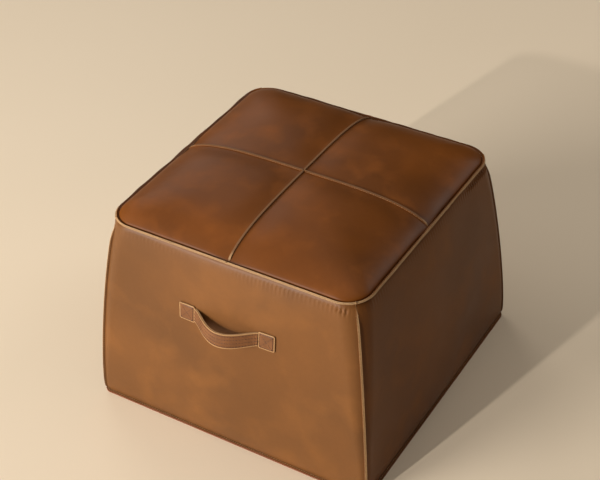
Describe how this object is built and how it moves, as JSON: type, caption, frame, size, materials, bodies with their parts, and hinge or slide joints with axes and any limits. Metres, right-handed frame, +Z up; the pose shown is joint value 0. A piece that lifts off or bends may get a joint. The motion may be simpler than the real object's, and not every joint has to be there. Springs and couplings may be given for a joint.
{
  "type": "square leather pouf",
  "caption": "Square tapered leather pouf with raw-edge seams, a crowned top quartered by crossed seams, a carrying handle on the front and a zip under the base.",
  "frame": {"origin": "on the floor, under the middle of the outline; the square body stands 10.7 mm behind it because the handle stands out in front", "axes": "+Z up, -Y towards the handle side, +X to the right as seen from the front"},
  "size_m": [0.5508, 0.5722, 0.4119],
  "materials": {
    "side_leather": "satin",
    "top_leather": "satin",
    "handle_leather": "satin",
    "seam_thread": "matte",
    "handle_thread": "matte",
    "calico": "matte",
    "foam": "matte",
    "wadding": "matte",
    "zip_tape": "matte",
    "zip_brass": "satin"
  },
  "bodies": {
    "pouf": {"side_panel_front": "side_leather", "side_panel_right": "side_leather", "side_panel_back": "side_leather", "side_panel_left": "side_leather", "top_panel_back_right": "top_leather", "top_panel_back_left": "top_leather", "top_panel_front_left": "top_leather", "top_panel_front_right": "top_leather", "base_panel_front": "side_leather", "base_panel_back": "side_leather", "rim_thread": "seam_thread", "base_thread": "seam_thread", "corner_thread_front_left": "seam_thread", "corner_thread_right_front": "seam_thread", "corner_thread_back_right": "seam_thread", "corner_thread_left_back": "seam_thread", "top_thread_right": "seam_thread", "top_thread_back": "seam_thread", "top_thread_left": "seam_thread", "top_thread_front": "seam_thread", "handle_end_left": "handle_leather", "handle_tab_left": "handle_leather", "handle_thread_left": "handle_thread", "handle_backing_left": "calico", "handle_end_right": "handle_leather", "handle_tab_right": "handle_leather", "handle_thread_right": "handle_thread", "handle_backing_right": "calico", "zip_tape_front": "zip_tape", "zip_teeth_front": "zip_brass", "zip_tape_back": "zip_tape", "zip_teeth_back": "zip_brass", "zip_stop_left": "zip_brass", "zip_stop_right": "zip_brass", "calico_bag": "calico", "foam_block": "foam", "top_wadding": "wadding"},
    "handle": {"handle_strap": "handle_leather", "handle_strap_lining": "handle_leather"},
    "zip_slider": {"zip_slider": "zip_brass"},
    "zip_pull": {"zip_pull": "zip_brass"}
  },
  "joints": [
    {"name": "handle_swing", "type": "hinge", "parent": "pouf", "child": "handle", "pos_m": [0.0056, -0.25128, 0.27564], "axis": [-1, 0, 0], "range_deg": [0, 80]},
    {"name": "zip_slide", "type": "slide", "parent": "pouf", "child": "zip_slider", "axis": [1, 0, 0], "range_m": [0, 0.33]},
    {"name": "zip_pull_swing", "type": "hinge", "parent": "zip_slider", "child": "zip_pull", "pos_m": [-0.167, 0.01068, 0.0047], "axis": [0, 1, 0], "range_deg": [-7, 160]}
  ]
}
